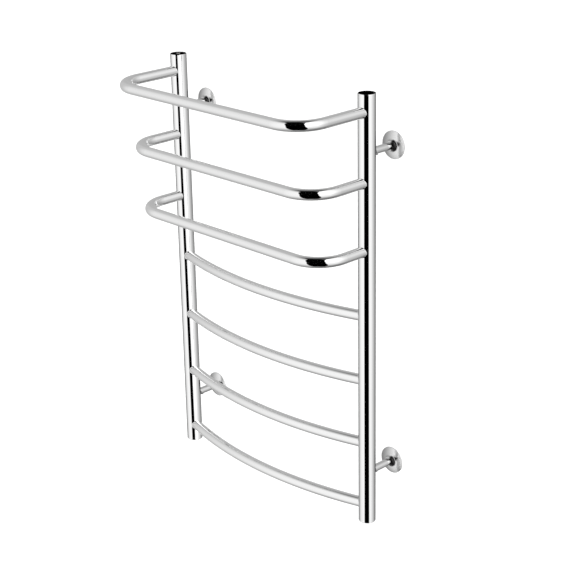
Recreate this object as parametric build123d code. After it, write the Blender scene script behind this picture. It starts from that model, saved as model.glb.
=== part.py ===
from build123d import *
import math
import os

# Wall-hung hydronic towel warmer rack: two vertical water tubes joined by three U-shaped rails on top
# and four bowed rungs below, held off the wall by four telescopic holders with sliding escutcheons.
# Millimetres. +Z is up, +X is to the right of someone facing the rack, and the rack's front faces -Y.
# The origin lies on the wall plane, at the centre of the four wall fixings.

# ---- driving dimensions -------------------------------------------------------------------------
upright_spacing = 500.0        # between the axes of the two uprights
upright_height = 830.0         # from the open lower end to the top of the end plug
upright_diameter = 32.0
upright_wall = 2.0
upright_end_round = 1.2        # rounding of the open lower end
standoff = 70.0                # wall to upright axis

rung_diameter = 20.0
rung_wall = 1.5
lowest_level = 35.0            # lower end of the uprights to the lowest rung
highest_level = 33.0           # top of the uprights down to the highest rail
rail_projections = (165.0, 135.0, 120.0)   # upright axis to the front run, from the top rail down
rail_bend_radius = 60.0        # to the tube's centre line
rung_count = 4
rung_bow = 39.0                # how far the middle of a bowed rung stands in front of the uprights

holder_low = 101.0             # lower end of the uprights to the lower holders
holder_high = 107.0            # top of the uprights down to the upper holders
holder_diameter = 14.0
holder_gap = 1.0               # between the holder's front end and the upright at rest
holder_socket_depth = 25.0
holder_edge = 0.5
wall_thread_bore = 6.8         # tapping size of M8
wall_thread_depth = 20.0
stub_diameter = 10.0
stub_length = 22.0
stub_clearance = 0.05          # radial, in the holder's socket

grub_diameter = 5.0
grub_length = 3.2
grub_socket = 2.5              # across the flats of its hexagon socket
grub_socket_depth = 1.6
grub_setback = 8.0             # behind the holder's front end

escutcheon_diameter = 52.0
escutcheon_height = 10.4
escutcheon_wall = 1.2
escutcheon_lip = 1.6           # height of the rim that rests on the wall
escutcheon_shoulder = 4.6      # height of the dome where it meets the hub
escutcheon_crown = 0.9         # bulge of the dome between rim and hub
hub_wall = 0.7                 # around the grip ring's groove
hub_fillet = 4.6
hub_edge = 0.8
hub_clearance = 0.30           # radial, around the holder
hub_seal_section = 1.5
hub_seal_clearance = 0.05      # radial, inside the grip ring
hub_seal_height = 6.5          # middle of the grip ring, above the wall
hub_seal_slack = 0.4           # depth of the hollow's step behind the hub

plug_flange = 3.0
plug_edge = 1.0
plug_spigot_length = 9.0
pipe_thread_bore = 18.6        # minor diameter of the G 1/2 internal thread
pipe_thread_crest = 20.9       # outside diameter of the G 1/2 external thread
bushing_height = 14.0
bushing_mouth = 1.2            # chamfer that leads the pipe thread in
plug_mouth = 0.3
thread_clearance = 0.05
face_seal_section = 1.6
face_seal_radius = 12.2
face_seal_slack = 0.2          # groove width beyond the ring, on each side

bleed_thread = 6.0
bleed_head = 8.0
bleed_head_height = 2.2
bleed_recess = 2.6
bleed_shank = 7.0
bleed_tip = 1.8
bleed_orifice = 2.5
bleed_slot = 1.2
bleed_slot_depth = 1.1
bleed_groove = 1.0
bleed_clearance = 0.08

coincidence = 0.01             # two heights closer than this are the same

# ---- places worked out from them ----------------------------------------------------------------
upright_radius = upright_diameter / 2
upright_bore = upright_radius - upright_wall
rung_radius = rung_diameter / 2
rung_bore = rung_radius - rung_wall
holder_radius = holder_diameter / 2
stub_radius = stub_diameter / 2
socket_radius = stub_radius + stub_clearance

upright_y = -standoff
upright_back = upright_y + upright_radius
holder_front = upright_back + holder_gap
holder_spacing = upright_height - holder_low - holder_high
bottom = -(holder_low + holder_spacing / 2)
top = bottom + upright_height
level_pitch = (upright_height - lowest_level - highest_level) / (rung_count + len(rail_projections) - 1)
tube_top = top - plug_flange
grub_y = holder_front + grub_setback
grip_radius = holder_radius + hub_seal_clearance + hub_seal_section / 2
hub_radius = grip_radius + hub_seal_section / 2 + hub_wall

SIDES = {"left": -upright_spacing / 2, "right": upright_spacing / 2}
HEIGHTS = {"upper": holder_spacing / 2, "lower": -holder_spacing / 2}
RAIL_NAMES = ("top_rail", "middle_rail", "third_rail")


def level(index):
    """Height of a rail or rung, counted from 0 at the lowest rung."""
    return bottom + lowest_level + level_pitch * index


def corners():
    """Each holder's name, x and z."""
    for height, z in HEIGHTS.items():
        for side, x in SIDES.items():
            yield f"{height}_{side}", x, z


# ---- small makers -------------------------------------------------------------------------------
def rod(radius, start, direction, length):
    """A round rod from a point along a direction."""
    upward = (Align.CENTER, Align.CENTER, Align.MIN)
    return Plane(start, z_dir=direction) * Cylinder(radius, length, align=upward)


def ring(outer, inner, start, direction, length):
    """A washer-like ring from a point along a direction."""
    return rod(outer, start, direction, length) - rod(inner, start, direction, length)


def seal(ring_radius, section, centre, direction):
    """A round sealing ring."""
    return Plane(centre, z_dir=direction) * Torus(ring_radius, section / 2)


def turned(outline, centre, direction):
    """A turned part: the outline's points are (radius, height along the direction)."""
    profile = make_face(Plane.XZ * Polyline(*outline, close=True))
    return Plane(centre, z_dir=direction) * revolve(profile, Axis.Z)


def rail_core(radius, projection, z):
    """A solid U of the rail's path: leg, bend, front run, bend, leg."""
    front = upright_y - projection
    bend_x = upright_spacing / 2 - rail_bend_radius
    bend_y = front + rail_bend_radius
    core = rod(radius, (-bend_x, front, z), (1, 0, 0), 2 * bend_x)
    for side in (-1, 1):
        core += rod(radius, (side * upright_spacing / 2, upright_y, z), (0, -1, 0), upright_y - bend_y)
        section = Plane((side * bend_x, front, z), z_dir=(1, 0, 0)) * Circle(radius)
        core += revolve(section, Axis((side * bend_x, bend_y, z), (0, 0, side)), 90)
    return core


def rung_core(radius, z):
    """A solid bow of the rung's path, from one upright's axis to the other's."""
    half = upright_spacing / 2
    arc_radius = (half ** 2 + rung_bow ** 2) / (2 * rung_bow)
    half_angle = math.degrees(math.asin(half / arc_radius))
    middle_y = upright_y - rung_bow
    axis = Axis((0, middle_y + arc_radius, z), (0, 0, 1))
    section = Plane((0, middle_y, z), z_dir=(1, 0, 0)) * Circle(radius)
    return revolve(section.rotate(axis, -half_angle), axis, 2 * half_angle)


def upright_post(x):
    """The upright's solid outside, which rungs, rails and stubs are cut to."""
    return rod(upright_radius, (x, upright_y, bottom), (0, 0, 1), tube_top - bottom)


# ---- cross members: three U rails and four bowed rungs -------------------------------------------
def cross_members():
    """Name, outer core and bore core of each cross member, from the top down."""
    top_level = rung_count + len(rail_projections) - 1
    members = {}
    for index, (name, projection) in enumerate(zip(RAIL_NAMES, rail_projections)):
        z = level(top_level - index)
        members[name] = (rail_core(rung_radius, projection, z), rail_core(rung_bore, projection, z))
    for index in range(rung_count):
        z = level(rung_count - 1 - index)
        members[f"bowed_rung_{index + 1}"] = (rung_core(rung_radius, z), rung_core(rung_bore, z))
    return members


def make_tubes():
    """The uprights, drilled for each cross member, and the cross members, coped to the uprights."""
    nodes = {}
    members = cross_members()
    posts = {side: upright_post(x) for side, x in SIDES.items()}
    for side, x in SIDES.items():
        lower_edge = posts[side].edges().filter_by(GeomType.CIRCLE).sort_by(Axis.Z)[0]
        tube = fillet(lower_edge, upright_end_round)
        tube -= rod(upright_bore, (x, upright_y, bottom), (0, 0, 1), tube_top - bottom)
        for _, bore in members.values():
            tube -= bore
        nodes[f"{side}_upright"] = tube
    for name, (core, bore) in members.items():
        nodes[name] = core - bore - posts["left"] - posts["right"]
    return nodes


# ---- upright ends: threaded bushings, plugs, seals and the air bleed ------------------------------
def plug_blank(x):
    """An end plug: a flange as wide as the upright, a threaded spigot and a face groove for its seal."""
    flange = rod(upright_radius, (x, upright_y, tube_top), (0, 0, 1), plug_flange)
    flange = fillet(flange.edges().sort_by(Axis.Z)[-1], plug_edge)
    spigot = rod(pipe_thread_crest / 2, (x, upright_y, tube_top), (0, 0, -1), plug_spigot_length)
    groove_half = face_seal_section / 2 + face_seal_slack
    groove = ring(face_seal_radius + groove_half, face_seal_radius - groove_half, (x, upright_y, tube_top),
                  (0, 0, 1), face_seal_section)
    return flange + spigot - groove


def bleed_cavity(x):
    """Recess, threaded bore, conical seat and orifice for the bleed screw."""
    bore = bleed_thread / 2 + bleed_clearance
    head = bleed_head / 2 + 2 * bleed_clearance
    seat = -(bleed_recess + bleed_shank)
    outline = ((0, 0), (head, 0), (head, -bleed_recess), (bore, -bleed_recess), (bore, seat),
               (bleed_orifice / 2, seat - bleed_tip), (bleed_orifice / 2, -plug_flange - plug_spigot_length),
               (0, -plug_flange - plug_spigot_length))
    return turned(outline, (x, upright_y, top), (0, 0, 1))


def make_bleed_screw(x):
    """A slotted screw with a conical tip, and a groove along its thread that lets the air out."""
    head_low = top - bleed_recess
    shank = bleed_thread / 2
    outline = ((0, bleed_head_height), (bleed_head / 2, bleed_head_height), (bleed_head / 2, bleed_clearance),
               (shank, bleed_clearance), (shank, bleed_clearance - bleed_shank),
               (bleed_orifice / 2, bleed_clearance - bleed_shank - bleed_tip),
               (0, bleed_clearance - bleed_shank - bleed_tip))
    screw = turned(outline, (x, upright_y, head_low), (0, 0, 1))
    head_high = head_low + bleed_head_height
    screw -= Pos(x, upright_y, head_high) * Box(bleed_head * 2, bleed_slot, bleed_slot_depth * 2)
    groove_height = bleed_shank - bleed_clearance
    groove = Box(bleed_groove, bleed_groove, groove_height, align=(Align.CENTER, Align.CENTER, Align.MAX))
    screw -= Pos(x, upright_y - shank, head_low) * groove
    return screw


def make_bushing(x, start, direction, bore, mouth):
    """A threaded ring welded inside an upright's end; its outer bore edge is chamfered by the mouth."""
    bushing = ring(upright_bore, bore, (x, upright_y, start), (0, 0, direction), bushing_height)
    cone = Cone(bore + mouth, bore, mouth, align=(Align.CENTER, Align.CENTER, Align.MIN))
    return bushing - Plane((x, upright_y, start), z_dir=(0, 0, direction)) * cone


def make_ends():
    nodes = {}
    plug_bore = pipe_thread_crest / 2 + thread_clearance
    seal_z = tube_top + face_seal_section / 2
    for side, x in SIDES.items():
        nodes[f"connection_bushing_{side}"] = make_bushing(x, bottom, 1, pipe_thread_bore / 2, bushing_mouth)
        nodes[f"plug_bushing_{side}"] = make_bushing(x, tube_top, -1, plug_bore, plug_mouth)
        seal_centre = (x, upright_y, seal_z)
        nodes[f"plug_seal_{side}"] = seal(face_seal_radius, face_seal_section, seal_centre, (0, 0, 1))
    nodes["blank_plug"] = plug_blank(SIDES["right"])
    nodes["bleed_plug"] = plug_blank(SIDES["left"]) - bleed_cavity(SIDES["left"])
    nodes["bleed_screw"] = make_bleed_screw(SIDES["left"])
    return nodes


# ---- wall holders -------------------------------------------------------------------------------
def make_stub(x, z):
    """A round pin welded to the back of the upright."""
    end = upright_back + stub_length
    pin = rod(stub_radius, (x, end, z), (0, -1, 0), end - upright_y)
    pin = chamfer(pin.edges().sort_by(Axis.Y)[-1], holder_edge)
    return pin - upright_post(x)


def make_holder(x, z):
    """A rod that screws onto a wall stud and takes the stub in its front socket."""
    body = rod(holder_radius, (x, 0, z), (0, -1, 0), -holder_front)
    body = chamfer(body.edges().sort_by(Axis.Y)[0], holder_edge)
    body -= rod(socket_radius, (x, holder_front, z), (0, 1, 0), holder_socket_depth)
    body -= rod(wall_thread_bore / 2, (x, 0, z), (0, -1, 0), wall_thread_depth)
    body -= rod(grub_diameter / 2 + thread_clearance, (x, grub_y, z), (0, 0, -1), holder_diameter)
    return body


def make_grub(x, z):
    """A socket set screw under the holder, with its tip against the stub."""
    tip = z - socket_radius
    screw = rod(grub_diameter / 2, (x, grub_y, tip), (0, 0, -1), grub_length)
    hexagon = RegularPolygon(grub_socket / 2, 6, major_radius=False)
    socket = extrude(Plane((x, grub_y, tip - grub_length), z_dir=(0, 0, 1)) * hexagon, grub_socket_depth)
    return screw - socket


def escutcheon_form(rim, edge_height, shoulder, height):
    """A turned dome with a central hub: from the rim, over the crown to the shoulder, and up the hub."""
    crown = SagittaArc((rim, edge_height), (hub_radius, shoulder), -escutcheon_crown)
    outline = Polyline((hub_radius, shoulder), (hub_radius, height), (0, height), (0, 0), (rim, 0),
                       (rim, edge_height))
    return revolve(Plane.XZ * make_face([crown, outline]), Axis.Z)


def make_escutcheon(x, z):
    """A hollow domed cover that slides along the holder, with a groove in its hub for the grip ring."""
    rim = escutcheon_diameter / 2
    cover = escutcheon_form(rim, escutcheon_lip, escutcheon_shoulder, escutcheon_height)
    for height, size in ((escutcheon_shoulder, hub_fillet), (escutcheon_height, hub_edge)):
        circles = cover.edges().filter_by(GeomType.CIRCLE)
        cover = fillet(circles.filter_by_position(Axis.Z, height - coincidence, height + coincidence), size)
    inner_rim = rim - escutcheon_wall
    ceiling = escutcheon_shoulder - escutcheon_wall
    hollow = escutcheon_form(inner_rim, escutcheon_lip - escutcheon_wall, ceiling, ceiling + hub_seal_slack)
    cover -= hollow
    cover -= rod(holder_radius + hub_clearance, (0, 0, 0), (0, 0, 1), escutcheon_height)
    groove_low = hub_seal_height - hub_seal_section / 2
    cover -= rod(grip_radius + hub_seal_section / 2, (0, 0, groove_low), (0, 0, 1), hub_seal_section)
    return Plane((x, 0, z), z_dir=(0, -1, 0)) * cover


def make_holders():
    nodes = {}
    for name, x, z in corners():
        nodes[f"stub_{name}"] = make_stub(x, z)
        nodes[f"holder_{name}"] = make_holder(x, z)
        nodes[f"grub_screw_{name}"] = make_grub(x, z)
        nodes[f"escutcheon_{name}"] = make_escutcheon(x, z)
        nodes[f"grip_ring_{name}"] = seal(grip_radius, hub_seal_section, (x, -hub_seal_height, z), (0, -1, 0))
    return nodes


def main():
    os.makedirs("parts", exist_ok=True)
    nodes = {}
    nodes.update(make_tubes())
    nodes.update(make_ends())
    nodes.update(make_holders())
    for name, shape in nodes.items():
        export_step(shape, f"parts/{name}.step")


main()
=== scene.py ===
"""Looks of the wall-hung towel warmer rack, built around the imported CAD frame. Metres."""

import math

import bmesh
import bpy
from mathutils import Matrix, Vector


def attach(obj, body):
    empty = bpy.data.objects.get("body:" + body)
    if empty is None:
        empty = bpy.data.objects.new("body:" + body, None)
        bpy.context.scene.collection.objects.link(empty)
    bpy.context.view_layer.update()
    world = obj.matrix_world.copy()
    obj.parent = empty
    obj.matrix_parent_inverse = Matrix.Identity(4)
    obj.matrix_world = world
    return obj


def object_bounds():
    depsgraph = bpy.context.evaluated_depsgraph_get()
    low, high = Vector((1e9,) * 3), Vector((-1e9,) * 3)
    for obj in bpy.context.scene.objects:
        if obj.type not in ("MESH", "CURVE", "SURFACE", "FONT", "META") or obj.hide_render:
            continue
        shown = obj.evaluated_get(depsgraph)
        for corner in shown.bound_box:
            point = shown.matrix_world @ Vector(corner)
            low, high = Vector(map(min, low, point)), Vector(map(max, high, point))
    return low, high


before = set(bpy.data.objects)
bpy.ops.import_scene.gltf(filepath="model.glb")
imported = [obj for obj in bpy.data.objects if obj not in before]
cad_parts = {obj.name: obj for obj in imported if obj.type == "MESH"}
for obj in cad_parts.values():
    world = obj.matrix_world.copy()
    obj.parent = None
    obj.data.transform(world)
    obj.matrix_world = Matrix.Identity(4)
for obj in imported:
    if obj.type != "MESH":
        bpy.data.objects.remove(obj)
cad_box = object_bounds()

# ---- measures of the rack that its looks follow -----------------------------------------------
UPRIGHT_X = 0.25                        # either side of the middle; the holders are behind the uprights
UPRIGHT_Y = -0.07
UPRIGHT_RADIUS = 0.016
TUBE_RADIUS = 0.010                     # of rails and rungs
LOWEST_LEVEL = -0.377                   # height of the lowest rung
LEVEL_PITCH = 0.127
RUNG_COUNT = 4
RAIL_COUNT = 3
RUNG_LEAN = math.radians(17.73)         # a bowed rung's direction at its ends, out of the rack's plane
HOLDER_Z = 0.311                        # above and below the middle
ESCUTCHEON_RADIUS = 0.026

# ---- camera -----------------------------------------------------------------------------------
VIEW_AZIMUTH = math.radians(47.323)     # round the rack, from straight in front towards its right
VIEW_ELEVATION = math.radians(19.583)
VIEW_ROLL = math.radians(-1.524)
VIEW_PLACE = Vector((1.9540, -1.9024, 1.0198))
LENS = 93.996                           # mm on a 36 mm sensor
FRAMING = (0.0456, -0.0569)             # lens shift, as shares of the frame's side

# ---- studio -----------------------------------------------------------------------------------
# Light of the walls round the rack, by azimuth in degrees: 0 is in front of it and 90 to its right.
WALLS = (
    (-180, 0.49), (-150, 0.48), (-120, 0.50), (-104, 0.58), (-90, 0.58), (-75, 0.66), (-60, 0.79),
    (-45, 0.89), (-30, 0.96), (-15, 0.98), (0, 1.0), (100, 1.0), (112, 0.84), (127, 0.67), (142, 0.55),
    (157, 0.43), (172, 0.40), (180, 0.44),
)
# Share of it that is left at an elevation in degrees, on the rack's left and on its right.
LEFT_HEIGHTS = (
    (-90, 0.30), (-75, 0.42), (-60, 0.55), (-50, 0.68), (-40, 0.85), (-28, 0.95), (-10, 1.0),
    (38, 1.0), (50, 0.85), (60, 0.55), (70, 0.15), (90, 0.10),
)
RIGHT_HEIGHTS = (
    (-90, 0.25), (-70, 0.30), (-60, 0.38), (-50, 0.47), (-40, 0.68), (-30, 0.90), (-20, 0.95), (-10, 0.97),
    (0, 1.15), (15, 1.35), (30, 1.45), (45, 1.50), (60, 1.60), (67, 1.35), (75, 0.40), (90, 0.12),
)
RIGHT_FROM = (40.0, 60.0)               # azimuths between which the right takes over
# Azimuths of the two edges of the unlit gap between the soft boxes, by elevation.
GAP_LEFT = ((-90, 8), (10, 8), (30, 2), (50, -6), (63, -12), (68, -50), (90, -70))
GAP_RIGHT = ((-90, 82), (-50, 76), (-35, 72), (-20, 67), (0, 63), (48, 63), (60, 72), (75, 90), (90, 95))
GAP_SOFTNESS = 1.5                      # degrees, either side of an edge
GAP_FOOT = -74.0                        # elevation of its lower end
GAP_FOOT_SOFTNESS = 3.0
SKY_FILL = 1.4                          # light that the studio gives to matt surfaces
BACKDROP = 1.0                          # what the camera sees of it
FLOOR_DROP = 0.35                       # below the lower end of the uprights
FLOOR_RADIUS = 40.0

# A soft box that narrows the gap's reflection in the left upright.
BOX_FROM = Vector((-UPRIGHT_X, UPRIGHT_Y, -0.43))
BOX_AZIMUTH = math.radians(57.0)
BOX_TILT = math.radians(15.7)
BOX_DISTANCE = 1.2
BOX_SHIFT = 0.12                        # to the right, across the line from the upright
BOX_SIZE = (0.75, 2.5)
BOX_POWER = 5.9
BOX_RECEIVERS = ("left_upright", "bleed_plug")

# ---- weld beads -------------------------------------------------------------------------------
WELD_SIZE = 0.0012
WELD_SUNK = 0.00004                     # into the metal on both sides, so that no slit shows
WELD_SIDES = 48
WELD_STEPS = 5

# ---- finishes: tones are grey levels, or red, green, blue and alpha ---------------------------
UPRIGHT_TONE = 0.99
RAIL_TONE = 0.93
HOLDER_TONE = 0.80
# Painted reflection: the near-black tone of the plugs' top faces.
PLUG_TOP_PAINTED_REFLECTION = 0.03
MACHINED_TONE = (0.72, 0.72, 0.73, 1.0)
BRASS_TONE = (0.42, 0.41, 0.39, 1.0)
BLACK_TONE = (0.05, 0.05, 0.055, 1.0)
RUBBER_TONES = (0.012, 0.03)
DULL_EDGE = 0.1                         # reflectance of uprights and plugs at a glancing angle
FILM_SCALE = 22.0
FILM_TONE = 0.985                       # share of the tone that is left where the film is thick
MARK_SCALE = 900.0
MARK_RISE = 0.00002
ESCUTCHEON_TONE = 0.90
ESCUTCHEON_PAINTED_SHADE = 0.36                 # painted shade: tone of its left side
ESCUTCHEON_ROUGHNESS = 0.16
HUB_PAINTED_REFLECTION = 0.03                        # painted dark reflection: tone of its hub's right side
HUB_REACH = 0.0125                      # radius of the hub with part of its fillet
TURNING_PITCH = 0.0012
TURNING_TONE = 0.30
TURNING_SHARE = 0.14                    # of that tone, at most
TURNING_RISE = 0.00003
RUBBER_GRAIN = 1500.0
RUBBER_RISE = 0.00005


# ---- node building ----------------------------------------------------------------------------
def grey(level):
    return (level, level, level, 1.0)


def shares(stops, low, high):
    """The stops' positions as shares of the way from low to high."""
    return [((at - low) / (high - low), level) for at, level in stops]


class Nodes:
    """Adds nodes to one tree; a socket or a value goes into each input."""

    def __init__(self, tree):
        self.tree = tree
        tree.nodes.clear()

    def put(self, value, socket):
        if isinstance(value, bpy.types.NodeSocket):
            self.tree.links.new(value, socket)
        else:
            socket.default_value = value

    def add(self, kind, inputs=(), **settings):
        node = self.tree.nodes.new(kind)
        for name, value in settings.items():
            setattr(node, name, value)
        items = inputs.items() if isinstance(inputs, dict) else enumerate(inputs)
        for key, value in items:
            self.put(value, node.inputs[key])
        return node

    def math(self, operation, *inputs):
        return self.add("ShaderNodeMath", inputs, operation=operation).outputs[0]

    def product(self, value, *factors):
        for factor in factors:
            value = self.math("MULTIPLY", value, factor)
        return value

    def rest(self, share):
        """What a share leaves of the whole."""
        return self.math("SUBTRACT", 1.0, share)

    def remap(self, value, low, high, to_low=0.0, to_high=1.0, smooth=False):
        inputs = {"Value": value, "From Min": low, "From Max": high, "To Min": to_low, "To Max": to_high}
        kind = "SMOOTHSTEP" if smooth else "LINEAR"
        return self.add("ShaderNodeMapRange", inputs, interpolation_type=kind).outputs["Result"]

    def ramp(self, value, stops):
        """stops are (position from 0 to 1, grey level)."""
        node = self.add("ShaderNodeValToRGB", {"Fac": value})
        elements = node.color_ramp.elements
        while len(elements) > 1:
            elements.remove(elements[0])
        for n, (position, level) in enumerate(stops):
            element = elements.new(position) if n else elements[0]
            element.position = position
            element.color = grey(level)
        return node.outputs["Color"]

    def azimuth_at(self, height, stops):
        """An azimuth that changes with the height; stops are (elevation, azimuth) in degrees."""
        turned = self.ramp(height, [(at, (azimuth + 180) / 360) for at, azimuth in shares(stops, -90, 90)])
        return self.math("MULTIPLY_ADD", turned, 360.0, -180.0)

    def noise(self, place, scale, **settings):
        return self.add("ShaderNodeTexNoise", {"Vector": place, "Scale": scale, **settings}).outputs["Fac"]

    def place(self):
        return self.add("ShaderNodeTexCoord").outputs["Object"]

    def mix(self, share, first, second):
        """From the first colour to the second."""
        node = self.add("ShaderNodeMix", {"Factor": share}, data_type="RGBA")
        self.put(first, node.inputs["A"])
        self.put(second, node.inputs["B"])
        return node.outputs["Result"]

    def bump(self, surface, height, strength, distance):
        rise = self.add("ShaderNodeBump", {"Strength": strength, "Distance": distance, "Height": height})
        self.put(rise.outputs[0], surface.inputs["Normal"])


# ---- surroundings -----------------------------------------------------------------------------
def add_world():
    """A pale studio for matt surfaces and the camera; polished metal sees its walls and the unlit gap."""
    world = bpy.data.worlds.new("studio")
    bpy.context.scene.world = world
    world.use_nodes = True
    n = Nodes(world.node_tree)
    direction = n.add("ShaderNodeSeparateXYZ", [n.add("ShaderNodeTexCoord").outputs["Generated"]])
    x, y, z = direction.outputs
    azimuth = n.math("DEGREES", n.math("ARCTAN2", x, n.product(y, -1.0)))
    elevation = n.math("DEGREES", n.math("ARCSINE", z))
    height = n.remap(elevation, -90.0, 90.0)

    wall = n.ramp(n.remap(azimuth, -180.0, 180.0), shares(WALLS, -180, 180))
    left = n.ramp(height, shares(LEFT_HEIGHTS, -90, 90))
    right = n.ramp(height, shares(RIGHT_HEIGHTS, -90, 90))
    side = n.remap(azimuth, *RIGHT_FROM)
    share = n.math("ADD", n.product(left, n.rest(side)), n.product(right, side))

    past_left = n.math("SUBTRACT", azimuth, n.azimuth_at(height, GAP_LEFT))
    before_right = n.math("SUBTRACT", n.azimuth_at(height, GAP_RIGHT), azimuth)
    above_foot = n.math("SUBTRACT", elevation, GAP_FOOT)
    gap = n.product(
        n.remap(past_left, -GAP_SOFTNESS, GAP_SOFTNESS, smooth=True),
        n.remap(before_right, -GAP_SOFTNESS, GAP_SOFTNESS, smooth=True),
        n.remap(above_foot, -GAP_FOOT_SOFTNESS, GAP_FOOT_SOFTNESS, smooth=True),
    )
    lit = n.product(wall, share, n.rest(gap))

    ray = n.add("ShaderNodeLightPath")
    mirrored = n.math("MAXIMUM", ray.outputs["Is Glossy Ray"], ray.outputs["Is Singular Ray"])
    other = n.math("MULTIPLY_ADD", ray.outputs["Is Camera Ray"], BACKDROP - SKY_FILL, SKY_FILL)
    level = n.math("ADD", n.product(mirrored, lit), n.product(n.rest(mirrored), other))
    background = n.add("ShaderNodeBackground", {"Color": grey(1.0), "Strength": level})
    n.add("ShaderNodeOutputWorld", [background.outputs[0]])


def add_floor():
    """A wide pale floor well below the rack, which hangs clear of it."""
    mesh = bpy.data.meshes.new("floor")
    shape = bmesh.new()
    bmesh.ops.create_circle(shape, cap_ends=True, segments=96, radius=FLOOR_RADIUS)
    shape.to_mesh(mesh)
    shape.free()
    floor = bpy.data.objects.new("floor", mesh)
    floor.location.z = cad_box[0].z - FLOOR_DROP
    bpy.context.scene.collection.objects.link(floor)
    material, n, surface = new_material("floor_paper", 0.0)
    mottle = n.add("ShaderNodeTexNoise", {"Scale": 3.0, "Detail": 3.0}).outputs["Fac"]
    n.put(n.ramp(mottle, ((0.3, 0.90), (0.7, 0.93))), surface.inputs["Base Color"])
    surface.inputs["Roughness"].default_value = 0.9
    mesh.materials.append(material)
    floor.visible_glossy = False


def add_camera():
    """The camera on the line of sight that the view angles give."""
    back = Vector((
        math.sin(VIEW_AZIMUTH) * math.cos(VIEW_ELEVATION),
        -math.cos(VIEW_AZIMUTH) * math.cos(VIEW_ELEVATION),
        math.sin(VIEW_ELEVATION),
    ))
    level_right = Vector((math.cos(VIEW_AZIMUTH), math.sin(VIEW_AZIMUTH), 0.0))
    level_up = back.cross(level_right)
    right = level_right * math.cos(VIEW_ROLL) + level_up * math.sin(VIEW_ROLL)
    up = back.cross(right)
    data = bpy.data.cameras.new("camera")
    data.sensor_width = 36.0
    data.lens = LENS
    data.shift_x, data.shift_y = FRAMING
    data.clip_start = 0.01
    data.clip_end = 200.0
    camera = bpy.data.objects.new("camera", data)
    turn = Matrix((right, up, back)).transposed()
    camera.matrix_world = Matrix.Translation(VIEW_PLACE) @ turn.to_4x4()
    bpy.context.scene.collection.objects.link(camera)
    bpy.context.scene.camera = camera


def add_left_light():
    """A tall soft box between the gap and the right-hand wall, for the left upright and its plug alone."""
    toward = Vector((math.sin(BOX_AZIMUTH), -math.cos(BOX_AZIMUTH), 0.0))
    across = Vector((math.cos(BOX_AZIMUTH), math.sin(BOX_AZIMUTH), 0.0))
    upward = Vector((0.0, 0.0, 1.0)) * math.cos(BOX_TILT) - across * math.sin(BOX_TILT)
    data = bpy.data.lights.new("left_box", "AREA")
    data.shape = "RECTANGLE"
    data.size, data.size_y = BOX_SIZE
    data.energy = BOX_POWER
    light = bpy.data.objects.new("left_box", data)
    turn = Matrix((upward.cross(toward), upward, toward)).transposed()
    centre = BOX_FROM + toward * BOX_DISTANCE + across * BOX_SHIFT
    light.matrix_world = Matrix.Translation(centre) @ turn.to_4x4()
    light.visible_camera = False
    light.visible_diffuse = False
    bpy.context.scene.collection.objects.link(light)
    lit = bpy.data.collections.new("lit_by_left_box")
    for name in BOX_RECEIVERS:
        lit.objects.link(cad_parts[name])
    light.light_linking.receiver_collection = lit


# ---- finishes ---------------------------------------------------------------------------------
def new_material(name, metallic):
    """A material, its nodes, and the surface node that goes to its output."""
    material = bpy.data.materials.new(name)
    material.use_nodes = True
    n = Nodes(material.node_tree)
    surface = n.add("ShaderNodeBsdfPrincipled", {"Metallic": metallic})
    n.add("ShaderNodeOutputMaterial", [surface.outputs[0]])
    return material, n, surface


def filmed(n, surface, place, tone, roughness):
    """The tone under a thin uneven film, which changes the roughness too."""
    film = n.noise(place, FILM_SCALE, Detail=4.0, Roughness=0.6)
    n.put(n.remap(film, 0.3, 0.7, roughness * 0.8, roughness * 1.25), surface.inputs["Roughness"])
    return n.mix(film, (*[level * FILM_TONE for level in tone[:3]], 1.0), tone)


def steel(name, tone, roughness, bump, edge=1.0):
    """Bright metal with faint polishing marks; edge is its reflectance at a glancing angle."""
    material, n, surface = new_material(name, 1.0)
    place = n.place()
    surface.inputs["Specular Tint"].default_value = grey(edge)
    n.put(filmed(n, surface, place, tone, roughness), surface.inputs["Base Color"])
    n.bump(surface, n.noise(place, MARK_SCALE, Detail=2.0), bump, MARK_RISE)
    return material


def plug_steel():
    """Polished round the flange, with a near-black painted reflection on its top face."""
    material, n, surface = new_material("plug_finish", 1.0)
    surface.inputs["Specular Tint"].default_value = grey(DULL_EDGE)
    bright = filmed(n, surface, n.place(), grey(UPRIGHT_TONE), 0.04)
    upward = n.add("ShaderNodeSeparateXYZ", [n.add("ShaderNodeNewGeometry").outputs["Normal"]]).outputs["Z"]
    # Painted dark reflection, mixed in where the surface faces upward.
    top_painted_reflection = n.remap(upward, 0.80, 0.97, smooth=True)
    n.put(n.mix(top_painted_reflection, bright, grey(PLUG_TOP_PAINTED_REFLECTION)), surface.inputs["Base Color"])
    return material


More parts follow.
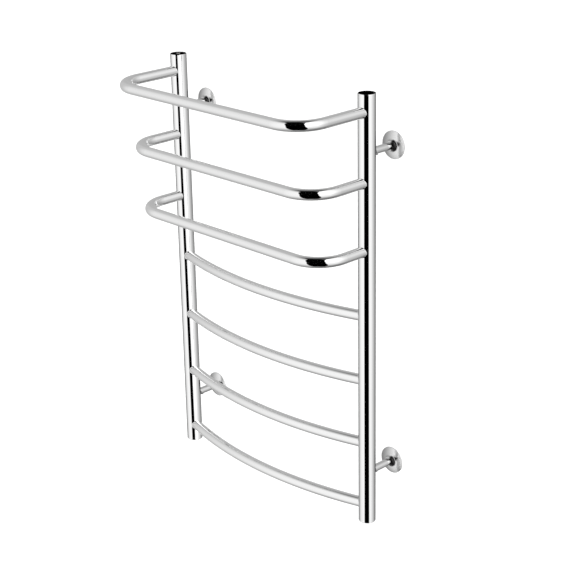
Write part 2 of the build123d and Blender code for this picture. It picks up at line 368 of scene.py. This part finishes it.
def turned_steel():
    """The escutcheons: satin metal with the fine rings of turning round each holder, painted shade on the
    left side of each, and a painted dark reflection on the right side of each hub.
    """
    material, n, surface = new_material("turned_finish", 1.0)
    place = n.place()
    x, _, z = n.add("ShaderNodeSeparateXYZ", [place]).outputs
    across = n.math("SUBTRACT", x, n.product(n.math("SIGN", x), UPRIGHT_X))
    upward = n.math("SUBTRACT", n.math("ABSOLUTE", z), HOLDER_Z)
    squares = n.math("ADD", n.product(across, across), n.product(upward, upward))
    radius = n.math("SQRT", squares)
    wave = n.math("SINE", n.product(radius, 2 * math.pi / TURNING_PITCH))

    tone = filmed(n, surface, place, grey(ESCUTCHEON_TONE), ESCUTCHEON_ROUGHNESS)
    # Painted shade: each escutcheon grows darker towards its left side.
    painted_shade_fade = n.remap(across, -ESCUTCHEON_RADIUS * 0.9, ESCUTCHEON_RADIUS * 0.5, smooth=True)
    tone = n.mix(painted_shade_fade, grey(ESCUTCHEON_PAINTED_SHADE), tone)
    # Painted reflection: a near-black crescent on the right side of each hub.
    on_hub = n.remap(radius, HUB_REACH, HUB_REACH * 0.85, smooth=True)
    painted_hub_reflection = n.product(on_hub, n.remap(across, 0.0, HUB_REACH * 0.4, smooth=True))
    tone = n.mix(painted_hub_reflection, tone, grey(HUB_PAINTED_REFLECTION))
    tone = n.mix(n.remap(wave, -1.0, 1.0, 0.0, TURNING_SHARE), tone, grey(TURNING_TONE))
    n.put(tone, surface.inputs["Base Color"])
    n.bump(surface, wave, 0.3, TURNING_RISE)
    return material


def rubber():
    """Matt black with a fine grain."""
    material, n, surface = new_material("rubber_finish", 0.0)
    grain = n.noise(n.place(), RUBBER_GRAIN, Detail=3.0)
    dark, pale = RUBBER_TONES
    n.put(n.ramp(grain, ((0.3, dark), (0.7, pale))), surface.inputs["Base Color"])
    n.put(n.remap(grain, 0.3, 0.7, 0.55, 0.7), surface.inputs["Roughness"])
    n.bump(surface, grain, 0.3, RUBBER_RISE)
    return material


SLOT_FINISHES = {
    "polished_steel": steel("polished_steel_finish", grey(RAIL_TONE), 0.035, 0.02),
    "machined_steel": steel("machined_steel_finish", MACHINED_TONE, 0.22, 0.2),
    "rubber_seal": rubber(),
    "brass_bleed": steel("nickelled_brass_finish", BRASS_TONE, 0.18, 0.2),
    "black_steel": steel("black_steel_finish", BLACK_TONE, 0.35, 0.2),
}
# Polished nodes with one of these words in their names have a finish of their own.
NODE_FINISHES = {
    "upright": steel("upright_finish", grey(UPRIGHT_TONE), 0.03, 0.02, DULL_EDGE),
    "holder": steel("holder_finish", grey(HOLDER_TONE), 0.05, 0.02),
    "escutcheon": turned_steel(),
    "_plug": plug_steel(),
}


def paint_nodes():
    """Gives the CAD nodes their finishes, and keeps rails and rungs out of the uprights' reflections."""
    for name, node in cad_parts.items():
        node.visible_glossy = "rail" not in name and "rung" not in name
        own = [finish for part, finish in NODE_FINISHES.items() if part in name]
        for spot in node.material_slots:
            polished = spot.material.name == "polished_steel"
            spot.material = own[0] if own and polished else SLOT_FINISHES[spot.material.name]


# ---- weld beads -------------------------------------------------------------------------------
def add_bead(shape, foot, along):
    """A small concave bead round a tube that leaves an upright's axis at foot."""
    upward = Vector((0.0, 0.0, 1.0))
    sideways = along.cross(upward)
    rows = []
    for n in range(WELD_SIDES):
        turn = 2 * math.pi * n / WELD_SIDES
        outward = sideways * math.cos(turn) + upward * math.sin(turn)
        reach = math.sqrt(UPRIGHT_RADIUS ** 2 - (TUBE_RADIUS * math.cos(turn)) ** 2)
        corner = foot + outward * TUBE_RADIUS + along * reach
        off_post = Vector((corner.x - foot.x, corner.y - foot.y, 0.0)).normalized()
        over_post = (outward - off_post * outward.dot(off_post)).normalized()
        corner -= (off_post + outward) * WELD_SUNK
        row = [corner]
        for step in range(WELD_STEPS + 1):
            share = step / WELD_STEPS
            row.append(corner + (over_post * (1 - share) ** 2 + along * share ** 2) * WELD_SIZE)
        rows.append([shape.verts.new(place) for place in row])
    for n, row in enumerate(rows):
        after = rows[(n + 1) % WELD_SIDES]
        for k in range(len(row)):
            m = (k + 1) % len(row)
            shape.faces.new((row[k], row[m], after[m], after[k]))


def add_welds():
    """The beads that join rails and rungs to the uprights."""
    shape = bmesh.new()
    for side in (-1, 1):
        for level in range(RUNG_COUNT + RAIL_COUNT):
            foot = Vector((side * UPRIGHT_X, UPRIGHT_Y, LOWEST_LEVEL + LEVEL_PITCH * level))
            lean = RUNG_LEAN if level < RUNG_COUNT else math.pi / 2
            add_bead(shape, foot, Vector((-side * math.cos(lean), -math.sin(lean), 0.0)))
    bmesh.ops.recalc_face_normals(shape, faces=shape.faces)
    mesh = bpy.data.meshes.new("weld_beads")
    shape.to_mesh(mesh)
    shape.free()
    mesh.polygons.foreach_set("use_smooth", [True] * len(mesh.polygons))
    mesh.materials.append(SLOT_FINISHES["polished_steel"])
    beads = bpy.data.objects.new("weld_beads", mesh)
    bpy.context.scene.collection.objects.link(beads)
    beads.visible_glossy = False
    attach(beads, "rack")


add_camera()
add_world()
add_left_light()
add_floor()
paint_nodes()
add_welds()
bpy.context.scene.view_settings.view_transform = "Standard"
